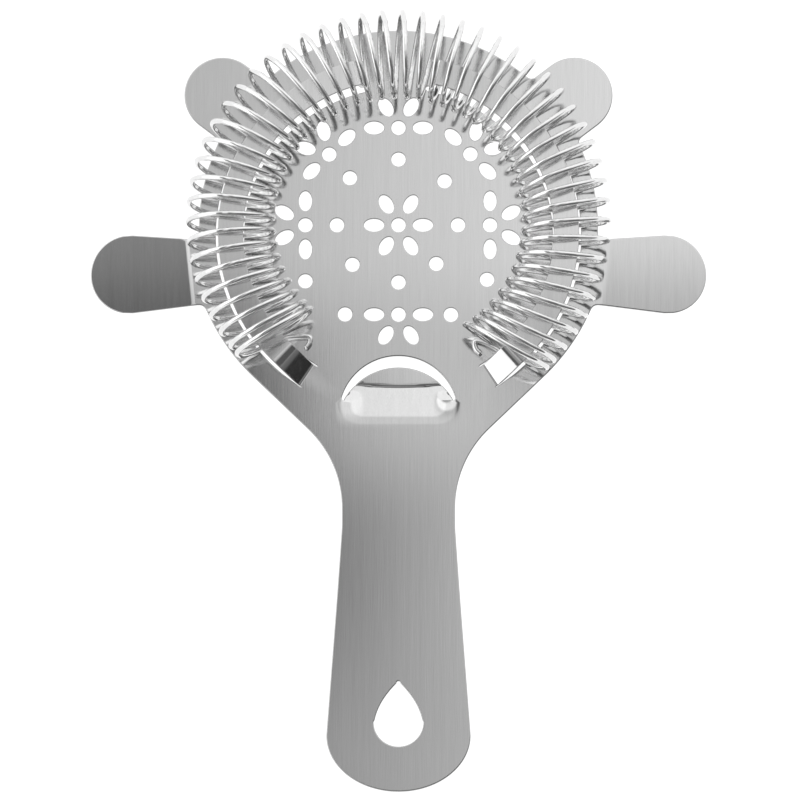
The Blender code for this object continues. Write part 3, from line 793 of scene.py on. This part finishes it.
def grey(tree, shader, value):
    """Makes a value the shader's base colour, as a grey."""
    node = tree.nodes.new("ShaderNodeCombineColor")
    for name in ("Red", "Green", "Blue"):
        tree.links.new(value, node.inputs[name])
    tree.links.new(node.outputs["Color"], shader.inputs["Base Color"])


def brushed_steel():
    """Satin sheet, brushed along the handle, with painted shade darkening its cut edges."""
    mat, tree, shader = new_material("brushed_sheet_steel")
    shader.inputs["Metallic"].default_value = 1.0
    fine = noise(tree, FINE_MARKS, detail=3.0)
    broad = noise(tree, BROAD_MARKS, detail=2.0)
    cloud = noise(tree, CLOUDS, detail=2.0)
    marks = maths(tree, "ADD", maths(tree, "MULTIPLY", fine, 0.65), maths(tree, "MULTIPLY", broad, 0.35))
    # Painted shade: on the cut walls the base colour is darkened down to 0.35, standing in for the shade and dark
    # reflections along the hole edges
    wall = tree.nodes.new("ShaderNodeAttribute")
    wall.attribute_name = "cut_wall_shade"
    shade = between(tree, wall.outputs["Fac"], (0.2, 0.9), (1.0, 0.35))
    colour = between(tree, marks, (0.35, 0.65), (0.64, 0.7))
    grey(tree, shader, maths(tree, "MULTIPLY", colour, shade))
    rough = between(tree, broad, (0.3, 0.7), (0.07, 0.09))
    rough = maths(tree, "ADD", rough, between(tree, cloud, (0.3, 0.7), (-0.01, 0.01)))
    tree.links.new(rough, shader.inputs["Roughness"])
    shader.inputs["Anisotropic"].default_value = 0.5
    across = tree.nodes.new("ShaderNodeCombineXYZ")
    across.inputs["X"].default_value = 1.0
    tree.links.new(across.outputs[0], shader.inputs["Tangent"])
    bump(tree, shader, fine, strength=0.12)
    return mat


def bright_wire():
    """Drawn stainless wire, nearly polished, with faint drawing marks."""
    mat, tree, shader = new_material("bright_drawn_wire")
    shader.inputs["Metallic"].default_value = 1.0
    marks = noise(tree, WIRE_MARKS, detail=3.0)
    grey(tree, shader, between(tree, marks, (0.3, 0.7), (0.73, 0.79)))
    tree.links.new(between(tree, marks, (0.3, 0.7), (0.08, 0.15)), shader.inputs["Roughness"])
    bump(tree, shader, marks, strength=0.05)
    return mat


# Floor, light and camera ------------------------------------------------------------------------

CAMERA_TILT, FRAME_WIDTH = 9.0, 157.2
LENS, SENSOR = 1600.0, 36.0
AIM = (0.3, -34.37 + SEAT_R)
CLIP_START, CLIP_END = 0.1, 50  # metres
FLOOR_Z, FLOOR_HALF, FLOOR_GREY, FLOOR_GLOW = -70.0, 4000, 0.15, 0.98
CARD_Z, CARD_HALF = 350.0, 290.0
CARD_SLOPE_END, CARD_CORNER_DARK, CARD_LEAST = 45.0, 0.75, 0.12
SIDE_LIGHT_DEG = 120.0
SIDE_DARK, SIDE_BRIGHT, LEFT_EXTRA, HIGH_EXTRA = 0.03, 1.1, 0.55, 0.14


def flat_square(name, centre, half):
    """A level square, its centre and half side in mm."""
    data = bpy.data.meshes.new(name)
    corners = [(-half, -half, 0), (half, -half, 0), (half, half, 0), (-half, half, 0)]
    data.from_pydata([Vector(c) * MM for c in corners], [], [(0, 1, 2, 3)])
    obj = bpy.data.objects.new(name, data)
    obj.location = Vector(centre) * MM
    bpy.context.scene.collection.objects.link(obj)
    return obj


def floor():
    """A pale floor that glows a little, so that it comes out near white."""
    obj = flat_square("floor", (0, 0, FLOOR_Z), FLOOR_HALF)
    mat, tree, shader = new_material("pale_floor")
    shader.inputs["Base Color"].default_value = (FLOOR_GREY, FLOOR_GREY, FLOOR_GREY, 1)
    shader.inputs["Roughness"].default_value = 0.9
    shader.inputs["Emission Color"].default_value = (1, 1, 1, 1)
    shader.inputs["Emission Strength"].default_value = FLOOR_GLOW
    obj.data.materials.append(mat)


def card_zones(tree, x, y):
    """Brightness of the card at a place, in mm, named by the spot of the flat sheet that reflects it."""

    def plain(value, span, result):
        return between(tree, value, span, result)

    def soft(value, span, result):
        return between(tree, value, span, result, "SMOOTHSTEP")

    def plus(a, b):
        return maths(tree, "ADD", a, b)

    def times(a, b):
        return maths(tree, "MULTIPLY", a, b)

    # Along the middle: dim over the handle, brighter over the sieve
    level = plus(soft(y, (-62, -36), (0.46, 0.7)), plain(y, (-110, -70), (0.07, 0)))
    level = plus(level, soft(y, (-22, -2), (0.0, 0.14)))

    # Across it: brighter to the right, most of all at the neck
    slope = maths(
        tree, "MINIMUM", plain(y, (-105, -75), (0.0055, 0.011)), plain(y, (-62, -30), (0.011, 0.004))
    )
    near = maths(tree, "MAXIMUM", maths(tree, "MINIMUM", x, CARD_SLOPE_END), -CARD_SLOPE_END)
    total = maths(tree, "MULTIPLY_ADD", near, slope, level)

    # Darker shoulders on both sides of the tab
    shoulder = times(soft(y, (-12, -28), (0, 1)), soft(y, (-62, -46), (0, 1)))
    sides = plus(soft(x, (-14, -28), (0, 0.42)), soft(x, (16, 30), (0, 0.26)))
    total = maths(tree, "SUBTRACT", total, times(shoulder, sides))

    # Beyond the flat sheet, as its bent parts and the wire reflect it: brighter to the left and the front, darker
    # past the handle's end, at its right corner and at the far left
    total = plus(total, soft(x, (-62, -85), (0, 0.5)))
    total = plus(total, soft(y, (70, 110), (0, 0.27)))
    total = times(total, soft(y, (-150, -120), (plain(x, (-40, 40), (0.5, 0.22)), 1)))
    corner = times(plain(x, (30, 110), (0, 1)), plain(y, (-45, -120), (0, 1)))
    total = times(total, maths(tree, "SUBTRACT", 1.0, times(corner, CARD_CORNER_DARK)))
    total = times(total, soft(x, (-185, -150), (0.28, 1)))
    return maths(tree, "MAXIMUM", total, CARD_LEAST)


def soft_card():
    """The soft light overhead, as the steel reflects it: fading towards the handle and the left."""
    obj = flat_square("soft_card", (0, SEAT_R, CARD_Z), CARD_HALF)
    obj.visible_camera = False
    obj.visible_shadow = False
    mat, tree, shader = new_material("soft_card")
    tree.nodes.remove(shader)
    glow = tree.nodes.new("ShaderNodeEmission")
    place = tree.nodes.new("ShaderNodeTexCoord")
    parts = tree.nodes.new("ShaderNodeSeparateXYZ")
    tree.links.new(place.outputs["Object"], parts.inputs[0])
    shift = CARD_Z * math.tan(math.radians(CAMERA_TILT))
    x = maths(tree, "MULTIPLY", parts.outputs["X"], 1 / MM)
    y = maths(tree, "MULTIPLY_ADD", parts.outputs["Y"], 1 / MM, -shift)
    tree.links.new(card_zones(tree, x, y), glow.inputs["Strength"])
    tree.links.new(glow.outputs[0], tree.nodes["Material Output"].inputs["Surface"])
    obj.data.materials.append(mat)


def world_light():
    """A low, broad light from the left and front, with the low right and handle side left dark."""
    world = bpy.data.worlds.new("studio")
    bpy.context.scene.world = world
    world.use_nodes = True
    tree = world.node_tree
    back = tree.nodes["Background"]
    back.inputs["Color"].default_value = (1, 1, 1, 1)
    place = tree.nodes.new("ShaderNodeTexCoord")
    parts = tree.nodes.new("ShaderNodeSeparateXYZ")
    tree.links.new(place.outputs["Generated"], parts.inputs[0])
    a = math.radians(SIDE_LIGHT_DEG)
    facing = maths(tree, "MULTIPLY", parts.outputs["X"], math.cos(a))
    facing = maths(tree, "MULTIPLY_ADD", parts.outputs["Y"], math.sin(a), facing)
    light = between(tree, facing, (-0.85, 0.1), (SIDE_DARK, SIDE_BRIGHT), "SMOOTHSTEP")
    light = maths(tree, "ADD", light, between(tree, parts.outputs["X"], (-0.5, -0.85), (0.0, LEFT_EXTRA)))
    light = maths(tree, "ADD", light, between(tree, parts.outputs["Z"], (0.05, 0.35), (0.0, HIGH_EXTRA)))
    tree.links.new(light, back.inputs["Strength"])


def camera():
    """A long lens, close to straight down, as in the picture."""
    data = bpy.data.cameras.new("camera")
    data.lens, data.sensor_width = LENS, SENSOR
    tilt = math.radians(CAMERA_TILT)
    distance = FRAME_WIDTH * MM * LENS / SENSOR
    back = Vector((0.0, -math.sin(tilt), math.cos(tilt)))
    obj = bpy.data.objects.new("camera", data)
    obj.location = Vector((*AIM, 0)) * MM + back * distance
    obj.rotation_mode = "QUATERNION"
    obj.rotation_quaternion = (-back).to_track_quat("-Z", "Y")
    data.clip_start, data.clip_end = CLIP_START, CLIP_END
    bpy.context.scene.collection.objects.link(obj)
    bpy.context.scene.camera = obj


sheet = build_sheet()
sheet.data.materials.append(brushed_steel())
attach(sheet, "plate")
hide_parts("strainer_plate")

wire = build_wire()
wire.data.materials.append(bright_wire())
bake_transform(wire)
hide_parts("coil_spring")

floor()
soft_card()
world_light()
camera()
bpy.context.scene.view_settings.view_transform = "Standard"
